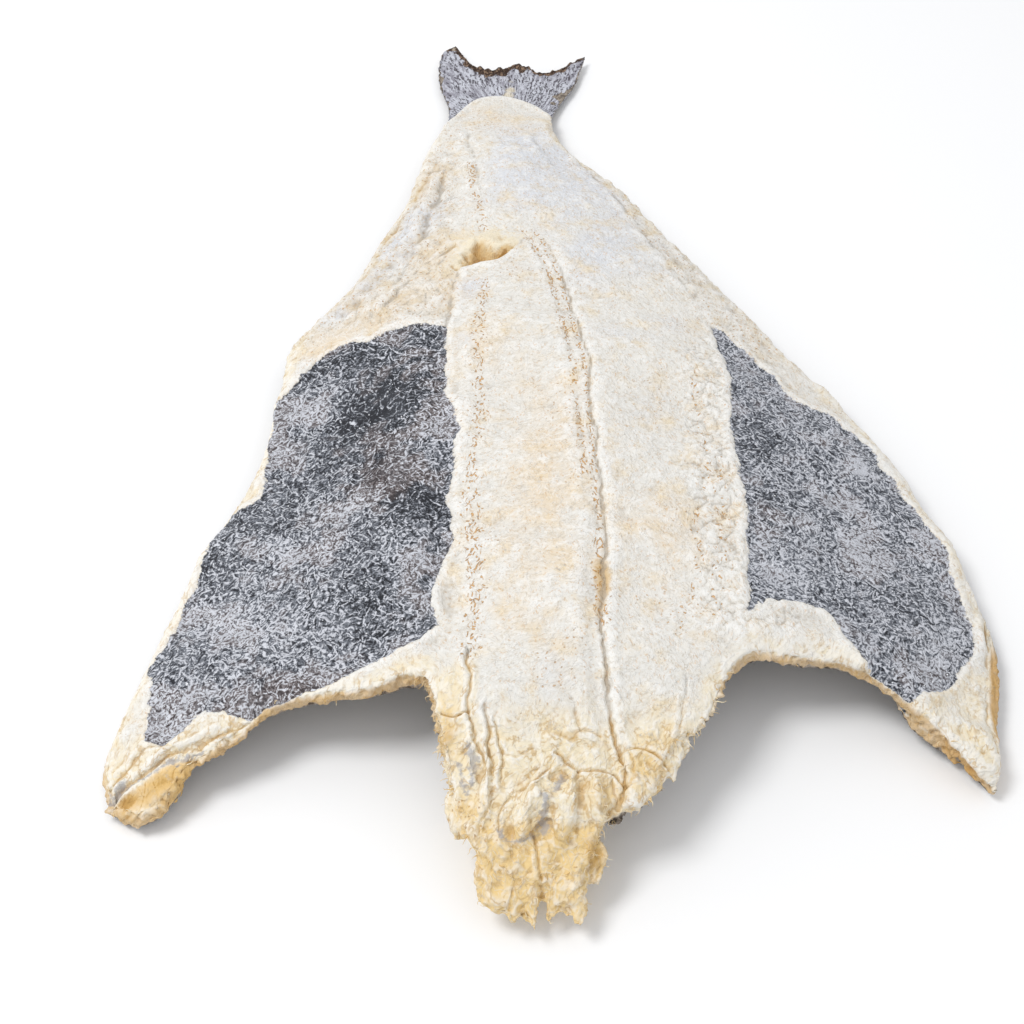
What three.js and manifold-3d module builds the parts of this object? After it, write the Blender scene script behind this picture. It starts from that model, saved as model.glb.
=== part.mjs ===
// A split, salted and dried cod: one fish, gutted, opened flat and cured, lying flesh side up.
// It is one stiff piece. It arches over its thick loins and rests on both belly tips and the tail.
// Millimetres, +Z up, +Y towards the tail, origin under the middle of the fish.

import * as THREE from 'three';
import { mergeVertices } from 'three/addons/utils/BufferGeometryUtils.js';
import Module from 'manifold-3d';

// --- driving dimensions ------------------------------------------------------------------------

const GRID_COLUMNS = 35;
const GRID_ROWS = 48;
const RIM_LAYERS = 3;
const RIM_STEP = 6;                // first grid step in from every rim
const RIM_ROUND = 0.3;             // how far the rim rounds off, as a share of its thickness
const RIM_EDGE_SHARE = 0.55;       // thickness left at the very rim
const RIM_SHOULDER_SHARE = 0.86;   // thickness left one grid step in

const HEAD_CUT_Y = -328;           // where the left and right belly tips end
const TAIL_LEFT_Y = 405;
const TAIL_RIGHT_Y = 388;
const HEAD_FADE = 0.4;             // share of the length over which the head cut's line fades out
const TAIL_FADE = 0.14;
const ARCH_POWER = 1.9;            // 2 is a parabola across the back

// The outline, seen from above. The sides are [y, x], the two ends are [x, y].
const LEFT_SIDE = [
  [-328, -243], [-306, -253], [-272, -246], [-220, -232], [-155, -210], [-85, -182],
  [-10, -172], [25, -168], [54, -150], [84, -131], [145, -107], [179, -93], [250, -76],
  [286, -63], [305, -61], [364, -69], [405, -55],
];
const RIGHT_SIDE = [
  [-326, 238], [-298, 245], [-235, 258], [-184, 249], [-119, 231], [-59, 206], [25, 155],
  [110, 112], [162, 81], [205, 60], [245, 31], [270, 21], [298, 21], [347, 42], [388, 54],
];
const HEAD_CUT = [
  [-243, -328], [-230, -335], [-212, -325], [-195, -299], [-162, -284], [-98, -279],
  [-77, -275], [-68, -284], [-60, -335], [-48, -368], [-36, -380], [-3, -384], [9, -380],
  [20, -359], [44, -347], [58, -320], [76, -308], [98, -270], [133, -264], [165, -265],
  [200, -287], [238, -326],
];
const TAIL_END = [
  [-55, 405], [-44, 381], [-17, 368], [0, 374], [12, 364], [27, 366], [41, 377], [54, 388],
];

// Heights and thicknesses along the fish, as [y, mm].
const RIDGE_HEIGHT = [
  [-394, 27], [-360, 43], [-320, 56], [-270, 64], [-180, 66], [-80, 62], [40, 52],
  [150, 41], [220, 32], [280, 21], [320, 13], [405, 10],
];
const SIDE_HEIGHT = [
  [-330, 13], [-250, 17], [-150, 21], [0, 25], [100, 24], [200, 22], [280, 18], [305, 11],
  [405, 10],
];
const LOIN_THICKNESS = [
  [-394, 19], [-350, 25], [-250, 30], [-100, 31], [50, 28], [200, 26], [250, 28], [280, 23],
  [298, 13], [312, 6.5], [330, 5.5], [405, 4.5],
];
const FLAP_THICKNESS = [
  [-394, 13], [-330, 14], [-270, 10], [-150, 8], [0, 8], [150, 9.5], [270, 9], [305, 5],
  [405, 4],
];
const LOIN_HALF_WIDTH = [[-394, 70], [-250, 118], [-100, 125], [50, 115], [150, 90], [280, 50]];

// The seam left by the backbone, as [y, x], and how deep it runs, as [y, mm].
const SPINE_SEAM = [
  [-372, 30], [-336, 31], [-272, 25], [-229, 23], [-183, 33], [-137, 30], [-28, 29],
  [16, 24], [55, 20], [95, 10], [121, 4],
];
const SEAM_DEPTH = [[-372, 9], [-300, 7], [-180, 4], [0, 3], [90, 2], [121, 0]];
const SEAM_HALF_WIDTH = 11;

const VENT = { x: -36, y: 91, radiusX: 20, radiusY: 19, depth: 7 };
const GUT_WALL = { x: -60, from: -270, to: 70, width: 16, drop: 2.5 };
const HEAD_LIP = { rise: 5, setBack: 13, width: 15, tongueLeft: -75, tongueRight: 95 };

// --- curves through stations -------------------------------------------------------------------

const clamp = (value, low, high) => Math.min(high, Math.max(low, value));
const mix = (a, b, t) => a + (b - a) * t;

// A smooth curve through [station, value] pairs: a cubic with three-point slopes.
function along(pairs, station) {
  const last = pairs.length - 1;
  const at = clamp(station, pairs[0][0], pairs[last][0]);
  let i = 0;
  while (i < last - 1 && at >= pairs[i + 1][0]) i += 1;
  const chord = (k) => (pairs[k + 1][1] - pairs[k][1]) / (pairs[k + 1][0] - pairs[k][0]);
  const gap = (k) => pairs[k + 1][0] - pairs[k][0];
  const slope = (k) => {
    if (k === 0) return chord(0);
    if (k === last) return chord(last - 1);
    return (chord(k - 1) * gap(k) + chord(k) * gap(k - 1)) / (gap(k) + gap(k - 1));
  };
  const s = (at - pairs[i][0]) / gap(i);
  const s2 = s * s;
  const s3 = s2 * s;
  return (2 * s3 - 3 * s2 + 1) * pairs[i][1] + (s3 - 2 * s2 + s) * gap(i) * slope(i)
    + (3 * s2 - 2 * s3) * pairs[i + 1][1] + (s3 - s2) * gap(i) * slope(i + 1);
}

// A smooth bump: 1 at zero, 0 from reach outwards.
function bump(distance, reach) {
  const s = clamp(1 - (distance / reach) ** 2, 0, 1);
  return s * s;
}

// --- the opened fish as a bent sheet -----------------------------------------------------------

// u runs 0 to 1 from the left side to the right, v from the head cut to the tail.
function outlinePoint(u, v) {
  const leftY = mix(HEAD_CUT_Y, TAIL_LEFT_Y, v);
  const rightY = mix(RIGHT_SIDE[0][0], TAIL_RIGHT_Y, v);
  const x = mix(along(LEFT_SIDE, leftY), along(RIGHT_SIDE, rightY), u);
  const straightY = mix(leftY, rightY, u);

  const headX = mix(HEAD_CUT[0][0], HEAD_CUT.at(-1)[0], u);
  const headY = mix(HEAD_CUT_Y, RIGHT_SIDE[0][0], u);
  const tailX = mix(TAIL_END[0][0], TAIL_END.at(-1)[0], u);
  const tailY = mix(TAIL_LEFT_Y, TAIL_RIGHT_Y, u);
  const headShare = clamp(1 - v / HEAD_FADE, 0, 1) ** 2;
  const tailShare = clamp((v - 1 + TAIL_FADE) / TAIL_FADE, 0, 1) ** 2;
  const y = straightY + headShare * (along(HEAD_CUT, headX) - headY)
    + tailShare * (along(TAIL_END, tailX) - tailY);
  return [x, y];
}

function sideways(x, y) {
  const left = along(LEFT_SIDE, y);
  const right = along(RIGHT_SIDE, y);
  const middle = (left + right) / 2;
  return { fromMiddle: x - middle, share: clamp(Math.abs((x - middle) / ((right - left) / 2)), 0, 1.05) };
}

function archHeight(x, y) {
  const side = along(SIDE_HEIGHT, y);
  return mix(side, along(RIDGE_HEIGHT, y), 1 - sideways(x, y).share ** ARCH_POWER);
}

// Low waves left by drying, a few millimetres high.
function dryingWaves(x, y) {
  const wings = clamp((120 - y) / 200, 0, 1);
  return wings * (1.5 * Math.sin(x / 23 + y / 41) + 1.1 * Math.sin(y / 19 - x / 53 + 1.3))
    + 0.5 * Math.sin(x / 11 + 0.7) * Math.sin(y / 14);
}

function headLip(x, y) {
  const onWing = x < HEAD_LIP.tongueLeft || x > HEAD_LIP.tongueRight;
  const fromCut = y - along(HEAD_CUT, x) - HEAD_LIP.setBack;
  return onWing ? HEAD_LIP.rise * bump(fromCut, HEAD_LIP.width) : 0;
}

function fleshHeight(x, y) {
  const seam = along(SEAM_DEPTH, y) * bump(x - along(SPINE_SEAM, y), SEAM_HALF_WIDTH);
  const vent = VENT.depth * bump(Math.hypot((x - VENT.x) / VENT.radiusX, (y - VENT.y) / VENT.radiusY), 1);
  const gutLength = bump((y - (GUT_WALL.from + GUT_WALL.to) / 2) / ((GUT_WALL.to - GUT_WALL.from) / 2), 1);
  const gutWall = GUT_WALL.drop * gutLength * bump(x - GUT_WALL.x, GUT_WALL.width);
  const isBody = clamp((300 - y) / 30, 0, 1);
  return archHeight(x, y) - seam - vent - gutWall + headLip(x, y) + dryingWaves(x, y) * isBody;
}

function fleshThickness(x, y) {
  const flap = along(FLAP_THICKNESS, y);
  const loin = bump(sideways(x, y).fromMiddle, along(LOIN_HALF_WIDTH, y));
  return mix(flap, along(LOIN_THICKNESS, y), loin);
}

// --- the closed body ---------------------------------------------------------------------------

// Grid stations from 0 to 1 over a span: one rim step at both ends, even steps between.
function station(index, steps, span) {
  if (index === 0 || index === steps) return index / steps;
  const rimStep = RIM_STEP / span;
  return mix(rimStep, 1 - rimStep, (index - 1) / (steps - 2));
}

const INWARD = 0.01;               // a short way in from the rim, to find which way inwards is

function rimShare(index, steps) {
  const inward = Math.min(index, steps - index);
  return [RIM_EDGE_SHARE, RIM_SHOULDER_SHARE][inward] ?? 1;
}

// A finely divided box, bent into the fish: its top becomes the flesh side, its underside the
// skin side and its walls the rim.
function bodyGeometry() {
  const box = new THREE.BoxGeometry(1, 1, 1, GRID_COLUMNS, GRID_ROWS, RIM_LAYERS);
  const position = box.attributes.position;
  const fishLength = TAIL_LEFT_Y - HEAD_CUT_Y;
  for (let k = 0; k < position.count; k += 1) {
    const column = Math.round((position.getX(k) + 0.5) * GRID_COLUMNS);
    const row = Math.round((position.getY(k) + 0.5) * GRID_ROWS);
    const layer = position.getZ(k) + 0.5;
    const v = station(row, GRID_ROWS, fishLength);
    const u = station(column, GRID_COLUMNS, outlinePoint(1, v)[0] - outlinePoint(0, v)[0]);
    const [x, y] = outlinePoint(u, v);

    const rim = Math.min(rimShare(column, GRID_COLUMNS), rimShare(row, GRID_ROWS));
    const full = fleshThickness(x, y);
    const shaved = full * (1 - rim) / 2;
    const top = fleshHeight(x, y) - shaved;
    const bottom = Math.max(0, archHeight(x, y) - full + shaved);

    const onRim = column % GRID_COLUMNS === 0 || row % GRID_ROWS === 0;
    const roundOff = onRim ? RIM_ROUND * full * (1 - Math.sin(Math.PI * layer)) : 0;
    const [inX, inY] = outlinePoint(clamp(u, INWARD, 1 - INWARD), clamp(v, INWARD, 1 - INWARD));
    const away = Math.hypot(inX - x, inY - y) || 1;
    const inwardX = roundOff * (inX - x) / away;
    const inwardY = roundOff * (inY - y) / away;
    position.setXYZ(k, x + inwardX, y + inwardY, mix(bottom, top, layer));
  }
  return box;
}

// --- ragged ends of flesh ----------------------------------------------------------------------

// A torn lump or strip: a ball drawn out along its length, with lumps worked into it.
// turn is its direction seen from above, dip its slope, both in degrees.
const TORN_PIECES = [
  // tongue of flesh at the head cut: two lobes, two hanging strips, and lumps at both sides
  { at: [-23, -349, 38], size: [15, 26, 13], turn: -24, dip: 24, seed: 1 },
  { at: [8, -347, 38], size: [21, 25, 13], turn: 8, dip: 24, seed: 2 },
  { at: [-32, -376, 27], size: [14, 24, 7], turn: 8, dip: 26, seed: 3 },
  { at: [1, -375, 27], size: [15, 25, 7], turn: 12, dip: 26, seed: 4 },
  { at: [38, -333, 42], size: [14, 18, 12], turn: -30, dip: 16, seed: 5 },
  { at: [-51, -332, 43], size: [10, 26, 11], turn: 6, dip: 20, seed: 6 },
  // left belly tip: lower lip, upper lip and the outer roll
  { at: [-224, -314, 9], size: [13, 27, 10], turn: -70, dip: 7, seed: 7 },
  { at: [-193, -296, 27], size: [9, 33, 7], turn: -66, dip: 15, seed: 8 },
  { at: [-236, -280, 10], size: [9, 40, 10], turn: -16, dip: 0, seed: 9 },
  // right belly tip: the cut edges of the outer side and the head side
  { at: [242, -272, 9], size: [9, 42, 10], turn: -10, dip: 0, seed: 10 },
  { at: [217, -294, 13], size: [8, 36, 8], turn: 48, dip: 13, seed: 11 },
];
const TORN_DETAIL = 3;

function tornGeometry({ at, size, turn, dip, seed }) {
  const ball = new THREE.IcosahedronGeometry(1, TORN_DETAIL);
  const position = ball.attributes.position;
  const point = new THREE.Vector3();
  for (let k = 0; k < position.count; k += 1) {
    point.fromBufferAttribute(position, k);
    const lump = 1 + 0.1 * Math.sin(5 * point.x + 3 * point.y + 2.1 * seed)
      + 0.08 * Math.sin(7 * point.y - 4 * point.z + 1.3 * seed);
    point.multiplyScalar(lump);
    position.setXYZ(k, point.x * size[0], point.y * size[1], point.z * size[2]);
  }
  const degree = Math.PI / 180;
  const tilt = new THREE.Euler(dip * degree, 0, turn * degree, 'ZYX');
  ball.applyMatrix4(new THREE.Matrix4().makeRotationFromEuler(tilt).setPosition(...at));
  for (let k = 0; k < position.count; k += 1) {
    position.setZ(k, Math.max(0, position.getZ(k)));
  }
  return ball;
}

// --- joining -----------------------------------------------------------------------------------

const wasm = await Module();
wasm.setup();

function toSolid(geometry) {
  const bare = geometry.clone();
  bare.deleteAttribute('normal');
  bare.deleteAttribute('uv');
  const merged = mergeVertices(bare, 1e-3);
  return new wasm.Manifold(new wasm.Mesh({
    numProp: 3,
    vertProperties: new Float32Array(merged.attributes.position.array),
    triVerts: new Uint32Array(merged.index.array),
  }));
}

function toGeometry(solid) {
  const { vertProperties, triVerts } = solid.getMesh();
  const geometry = new THREE.BufferGeometry();
  geometry.setAttribute('position', new THREE.Float32BufferAttribute(vertProperties, 3));
  geometry.setIndex(new THREE.Uint32BufferAttribute(triVerts, 1));
  return geometry;
}

function codGeometry() {
  let fish = toSolid(bodyGeometry());
  for (const piece of TORN_PIECES) fish = fish.add(toSolid(tornGeometry(piece)));
  const geometry = toGeometry(fish);
  geometry.computeBoundingBox();
  const { min, max } = geometry.boundingBox;
  geometry.translate(-(min.x + max.x) / 2, -(min.y + max.y) / 2, -min.z);
  geometry.computeVertexNormals();
  return geometry;
}

// --- the part ----------------------------------------------------------------------------------

const driedFlesh = new THREE.MeshStandardMaterial({ color: 0xece2cd, roughness: 0.75, metalness: 0 });
const cod = new THREE.Mesh(codGeometry(), driedFlesh);
cod.name = 'cod';

const saltedCod = new THREE.Group();
saltedCod.add(cod);

export default saltedCod;
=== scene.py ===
import math

import bmesh
import bpy
import numpy as np
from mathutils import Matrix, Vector


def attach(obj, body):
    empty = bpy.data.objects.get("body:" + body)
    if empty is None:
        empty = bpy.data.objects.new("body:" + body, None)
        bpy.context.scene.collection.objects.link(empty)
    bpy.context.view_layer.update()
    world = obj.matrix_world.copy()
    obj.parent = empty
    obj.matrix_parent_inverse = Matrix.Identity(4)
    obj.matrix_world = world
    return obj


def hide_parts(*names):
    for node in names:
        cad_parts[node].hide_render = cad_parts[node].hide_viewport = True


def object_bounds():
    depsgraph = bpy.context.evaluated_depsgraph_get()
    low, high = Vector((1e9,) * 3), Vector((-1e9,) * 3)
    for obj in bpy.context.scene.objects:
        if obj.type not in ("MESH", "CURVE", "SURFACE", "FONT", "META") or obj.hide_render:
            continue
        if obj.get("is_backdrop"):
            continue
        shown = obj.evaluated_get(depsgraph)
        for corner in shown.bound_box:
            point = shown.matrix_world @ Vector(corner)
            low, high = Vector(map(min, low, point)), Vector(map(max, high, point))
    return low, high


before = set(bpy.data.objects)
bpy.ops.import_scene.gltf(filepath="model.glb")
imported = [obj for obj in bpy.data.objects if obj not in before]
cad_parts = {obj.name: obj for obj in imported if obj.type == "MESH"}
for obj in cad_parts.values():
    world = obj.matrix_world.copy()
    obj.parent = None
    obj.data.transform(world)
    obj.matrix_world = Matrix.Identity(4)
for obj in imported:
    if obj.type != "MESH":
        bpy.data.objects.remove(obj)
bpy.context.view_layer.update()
MM = 0.001


# --- The opened body ---
# One cod, split from its head cut to its tail and opened flat, then salted and dried until it is stiff.
# It arches over its thick loins. Here it is a sheet bent to its outline and to its heights, in millimetres.

HEAD_CUT_Y = (-328, -326)  # left and right belly tip
TAIL_Y = (405, 388)
HEAD_FADE = 0.4  # share of the length over which the head cut's line fades out
TAIL_FADE = 0.14
ARCH_POWER = 1.9

# Seen from above: the sides are (y, x), the two ends are (x, y).
LEFT_SIDE = [
    (-328, -243), (-306, -253), (-272, -246), (-220, -232), (-155, -210), (-85, -182), (-10, -172),
    (25, -168), (54, -150), (84, -131), (145, -107), (179, -93), (250, -76), (286, -63), (305, -61),
    (364, -70), (386, -68), (398, -64), (405, -55),
]
RIGHT_SIDE = [
    (-326, 238), (-298, 245), (-235, 258), (-184, 249), (-119, 231), (-59, 206), (25, 155), (110, 112),
    (162, 81), (205, 60), (245, 31), (270, 21), (298, 21), (347, 42), (388, 54),
]
HEAD_CUT = [
    (-243, -328), (-230, -335), (-212, -325), (-195, -299), (-162, -284), (-98, -279), (-77, -275),
    (-68, -284), (-60, -335), (-48, -368), (-36, -380), (-3, -384), (9, -380), (20, -359), (44, -347),
    (58, -320), (76, -308), (98, -270), (133, -264), (165, -265), (200, -287), (238, -326),
]
TAIL_END = [
    (-55, 405), (-44, 381), (-17, 368), (0, 374), (12, 364), (27, 366), (41, 377), (54, 388),
]

# Heights and thicknesses along the fish, as (y, mm).
RIDGE_HEIGHT = [
    (-394, 27), (-360, 43), (-320, 56), (-270, 64), (-180, 66), (-80, 62), (40, 52), (150, 41), (220, 32),
    (280, 21), (320, 13), (405, 10),
]
SIDE_HEIGHT = [
    (-330, 13), (-250, 17), (-150, 21), (0, 25), (100, 24), (200, 22), (280, 18), (305, 11), (405, 10),
]
LOIN_THICKNESS = [
    (-394, 19), (-350, 25), (-250, 30), (-100, 31), (50, 28), (200, 26), (250, 28), (280, 23), (298, 13),
    (312, 6.5), (330, 5.5), (405, 4.5),
]
FLAP_THICKNESS = [
    (-394, 13), (-330, 14), (-270, 10), (-150, 8), (0, 8), (150, 9.5), (270, 9), (305, 5), (405, 4),
]
LOIN_HALF_WIDTH = [(-394, 70), (-250, 118), (-100, 125), (50, 115), (150, 90), (280, 50)]

SHEET_COLUMNS = 190
SHEET_ROWS = 280
STATION_CROWDING = 0.8  # how much closer the sheet's rows and columns lie near its rim
SIDE_ROUNDING = 7
CUT_ROUNDING = 3.5
LIP_THINNING = 0.62  # how much thinner the flesh was pulled at the head cut
LIP_REACH = 26
LIP_LEFT = (-84, -64)  # the width over which it was pulled, with both ends drawn out
LIP_RIGHT = (104, 84)


def along(pairs, station):
    """A smooth curve through (station, value) pairs: a cubic with three-point slopes."""
    at, value = np.array(pairs, float).T
    gap = np.diff(at)
    chord = np.diff(value) / gap
    inner = (chord[:-1] * gap[1:] + chord[1:] * gap[:-1]) / (gap[1:] + gap[:-1])
    slope = np.concatenate([chord[:1], inner, chord[-1:]])
    station = np.clip(station, at[0], at[-1])
    i = np.clip(np.searchsorted(at, station, side="right") - 1, 0, len(gap) - 1)
    s = (station - at[i]) / gap[i]
    return (
        (2 * s**3 - 3 * s**2 + 1) * value[i]
        + (s**3 - 2 * s**2 + s) * gap[i] * slope[i]
        + (3 * s**2 - 2 * s**3) * value[i + 1]
        + (s**3 - s**2) * gap[i] * slope[i + 1]
    )


def step(low, high, value):
    """0 at low, 1 at high, smooth between and level beyond."""
    s = np.clip((value - low) / (high - low), 0, 1)
    return s * s * (3 - 2 * s)


def bump(distance, reach):
    """1 at no distance, falling smoothly to 0 at the reach."""
    return np.clip(1 - (distance / reach) ** 2, 0, 1) ** 2


def outline_point(u, v):
    """u runs 0 to 1 from the left side to the right, v from the head cut to the tail."""
    left_y = HEAD_CUT_Y[0] + (TAIL_Y[0] - HEAD_CUT_Y[0]) * v
    right_y = HEAD_CUT_Y[1] + (TAIL_Y[1] - HEAD_CUT_Y[1]) * v
    left_x, right_x = along(LEFT_SIDE, left_y), along(RIGHT_SIDE, right_y)
    x = left_x + (right_x - left_x) * u
    y = left_y + (right_y - left_y) * u
    for line, fade, share in ((HEAD_CUT, HEAD_FADE, v), (TAIL_END, TAIL_FADE, 1 - v)):
        (x0, y0), (x1, y1) = line[0], line[-1]
        weight = np.clip(1 - share / fade, 0, 1) ** 2
        y = y + weight * (along(line, x0 + (x1 - x0) * u) - (y0 + (y1 - y0) * u))
    return x, y


def arch_height(x, y):
    left, right = along(LEFT_SIDE, y), along(RIGHT_SIDE, y)
    share = np.clip(abs(x - (left + right) / 2) / ((right - left) / 2), 0, 1.05)
    side = along(SIDE_HEIGHT, y)
    return side + (along(RIDGE_HEIGHT, y) - side) * (1 - share**ARCH_POWER)


def flesh_thickness(x, y):
    from_middle = x - (along(LEFT_SIDE, y) + along(RIGHT_SIDE, y)) / 2
    flap = along(FLAP_THICKNESS, y)
    return flap + (along(LOIN_THICKNESS, y) - flap) * bump(from_middle, along(LOIN_HALF_WIDTH, y))


def rim_stations(count):
    """Stations from 0 to 1 that crowd towards both ends, where the rim rounds off."""
    t = np.linspace(0, 1, count + 1)
    return t - STATION_CROWDING * np.sin(2 * math.pi * t) / (2 * math.pi)


def sheet_mesh():
    """The bent sheet: a flesh side and a skin side that meet along a rounded rim."""
    u, v = np.meshgrid(rim_stations(SHEET_COLUMNS), rim_stations(SHEET_ROWS))
    x, y = outline_point(u, v)
    width = outline_point(np.ones_like(v), v)[0] - outline_point(np.zeros_like(v), v)[0]
    length = TAIL_Y[0] - HEAD_CUT_Y[0]
    inward = np.minimum(
        np.minimum(u, 1 - u) * width / SIDE_ROUNDING, np.minimum(v, 1 - v) * length / CUT_ROUNDING
    )
    round_off = np.sqrt(1 - (1 - np.clip(inward, 0, 1)) ** 2)
    lip = step(*LIP_LEFT, x) * step(*LIP_RIGHT, x) * step(LIP_REACH, 0, v * length)
    thickness = flesh_thickness(x, y) * (1 - LIP_THINNING * lip)
    middle = arch_height(x, y) - thickness / 2
    top = np.stack([x, y, middle + thickness / 2 * round_off], -1)
    low = np.stack([x, y, np.maximum(0, middle - thickness / 2 * round_off)], -1)

    rows, columns = u.shape
    index = np.arange(rows * columns).reshape(rows, columns)
    is_rim = np.ones((rows, columns), bool)
    is_rim[1:-1, 1:-1] = False
    low_index = np.where(is_rim, index, index + rows * columns)

    def quads(grid):
        return np.stack([grid[:-1, :-1], grid[:-1, 1:], grid[1:, 1:], grid[1:, :-1]], -1).reshape(-1, 4)

    faces = np.concatenate([quads(index), quads(low_index)[:, ::-1]])
    points = np.concatenate([top.reshape(-1, 3), low.reshape(-1, 3)])
    used, faces = np.unique(faces, return_inverse=True)
    mesh = bpy.data.meshes.new("sheet")
    mesh.from_pydata(points[used].tolist(), [], faces.reshape(-1, 4).tolist())
    return mesh


# --- The torn ends ---
# Where the head was pulled off, lumps of muscle and two long strips hang out of the cut. Each belly tip is
# rolled in on itself. They are drawn-out balls, joined to the body under one even skin.

# Centre, half sizes, direction seen from above and slope in degrees, squareness, seed.
TORN_PIECES = [
    ((-17, -351, 44), (9.5, 19, 11), -37, 26, 0.85, 1),
    ((0, -351, 43.5), (8, 17, 11), -10, 26, 0.85, 2),
    ((16, -348, 44), (8, 13, 10), -10, 22, 0.9, 12),
    ((32.5, -331, 49), (3, 6, 5), 4, 14, 1, 13),
    ((41, -336, 43), (9, 10, 9), -20, 15, 1, 5),
    ((44, -320, 50), (8.5, 8, 5), -10, 12, 1, 20),
    ((-35.5, -328, 49), (2.8, 20, 5), 0, 15, 0.8, 14),
    ((-41.5, -338, 46), (3.2, 24, 7), -2, 16, 0.8, 15),
    ((-49, -330, 45), (4.2, 14, 8), 4, 14, 0.9, 6),
    ((-55, -279, 51), (6.5, 18, 8), -6, 5, 1, 16),
    ((-54, -306, 46), (9, 11, 9), 0, 10, 1, 17),
    ((-52, -351, 38), (8.5, 12, 5), 8, 24, 0.9, 18),
    ((-29, -375, 28), (17.5, 22, 5), -2, 25, 0.62, 3),
    ((-1, -376, 28), (11.5, 23, 5.5), 6, 27, 0.62, 4),
    ((14, -371, 27), (6.5, 10, 3), -8, 30, 0.9, 19),
    ((-228, -314, 9), (12.5, 22, 10), -66, 7, 1, 7),
    ((-193, -296, 27), (9, 33, 7), -66, 15, 1, 8),
    ((-236, -280, 10), (9, 40, 10), -16, 0, 1, 9),
    ((239, -262, 9), (7, 36, 9), -4, 0, 1, 10),
    ((215, -291, 13), (8, 32, 8), 48, 13, 1, 11),
]
SHRED_SLOPE = 26
SHRED_TURN = 22
SKIN_CELL = 1.45  # the step of the drawn skin
SOFTEN_STEPS = 1


def torn_mesh(at, size, turn, dip, square, seed):
    """A torn lump or strip: a ball drawn out along its length and squared off, with lumps worked into it."""
    ball = bmesh.new()
    bmesh.ops.create_icosphere(ball, subdivisions=5, radius=1)
    turn, dip = math.radians(turn), math.radians(dip)
    for vertex in ball.verts:
        x, y, z = vertex.co
        lump = 1 + 0.08 * math.sin(5 * x + 3 * y + 2.1 * seed) + 0.06 * math.sin(7 * y - 4 * z + 1.3 * seed)
        x, y = math.copysign(abs(x) ** square, x), math.copysign(abs(y) ** square, y)
        x, y, z = x * lump * size[0], y * lump * size[1], z * lump * size[2]
        y, z = y * math.cos(dip) - z * math.sin(dip), y * math.sin(dip) + z * math.cos(dip)
        x, y = x * math.cos(turn) - y * math.sin(turn), x * math.sin(turn) + y * math.cos(turn)
        vertex.co = (at[0] + x, at[1] + y, max(0, at[2] + z))
    mesh = bpy.data.meshes.new("torn")
    ball.to_mesh(mesh)
    ball.free()
    return mesh


def placed(name, data):
    """A new object in the scene."""
    thing = bpy.data.objects.new(name, data)
    bpy.context.collection.objects.link(thing)
    return thing


def one_skin(meshes):
    """Draws closed shapes that overlap into one even skin."""
    whole = bmesh.new()
    for mesh in meshes:
        whole.from_mesh(mesh)
        bpy.data.meshes.remove(mesh)
    mesh = bpy.data.meshes.new("whole")
    whole.to_mesh(mesh)
    whole.free()
    piece = placed("whole", mesh)
    remesh = piece.modifiers.new("one_skin", "REMESH")
    remesh.mode = "VOXEL"
    remesh.voxel_size = SKIN_CELL
    soften = piece.modifiers.new("soften", "SMOOTH")
    soften.iterations = SOFTEN_STEPS
    drawn = bpy.data.meshes.new_from_object(piece.evaluated_get(bpy.context.evaluated_depsgraph_get()))
    bpy.data.objects.remove(piece)
    bpy.data.meshes.remove(mesh)
    drop_crumbs(drawn)
    return drawn


def drop_crumbs(mesh):
    """Leaves only the largest connected part of a mesh."""
    whole = bmesh.new()
    whole.from_mesh(mesh)
    left, parts = set(whole.verts), []
    while left:
        part = [left.pop()]
        for vertex in part:
            linked = {edge.other_vert(vertex) for edge in vertex.link_edges} & left
            left -= linked
            part.extend(linked)
        parts.append(part)
    crumbs = sorted(parts, key=len)[:-1]
    bmesh.ops.delete(whole, geom=[vertex for crumb in crumbs for vertex in crumb])
    whole.to_mesh(mesh)
    whole.free()


def shreds(count, low, high, seed, reach=(6, 11)):
    """Small flat tatters side by side from one end of a torn edge to the other."""
    dice = np.random.default_rng(seed)
    tatters = []
    for share in (np.arange(count) + 0.5) / count:
        at = [l + (h - l) * share for l, h in zip(low, high)]
        at[1] += dice.uniform(-4, 3)
        size = (dice.uniform(2.6, 4.6), dice.uniform(*reach), dice.uniform(1.8, 2.8))
        turn = dice.uniform(-SHRED_TURN, SHRED_TURN)
        tatters.append(torn_mesh(at, size, turn, SHRED_SLOPE, 1, int(dice.integers(90))))
    return tatters


fish_mesh = one_skin([
    sheet_mesh(),
    *[torn_mesh(*piece) for piece in TORN_PIECES],
    *shreds(6, (-44, -389, 20), (-17, -393, 18), 41),
    *shreds(4, (-10, -393, 18), (8, -391, 18), 42),
    *shreds(3, (10, -379, 23), (18, -376, 24), 43),
    *shreds(4, (-60, -344, 39), (-54, -361, 33), 45),
    *shreds(4, (50, -330, 44), (66, -316, 46), 44),
    *shreds(5, (64, -309, 47), (84, -287, 48), 46, (3, 6)),
    *shreds(7, (20, -353, 35), (50, -336, 40), 47, (4, 7)),
])


# --- The dried relief ---
# Drying shrank the flesh: it is creased along the spine's seam, puckered into pebbles beside the right
# membrane and torn into folds at the head cut. All of it is worked into the one skin.

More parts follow.
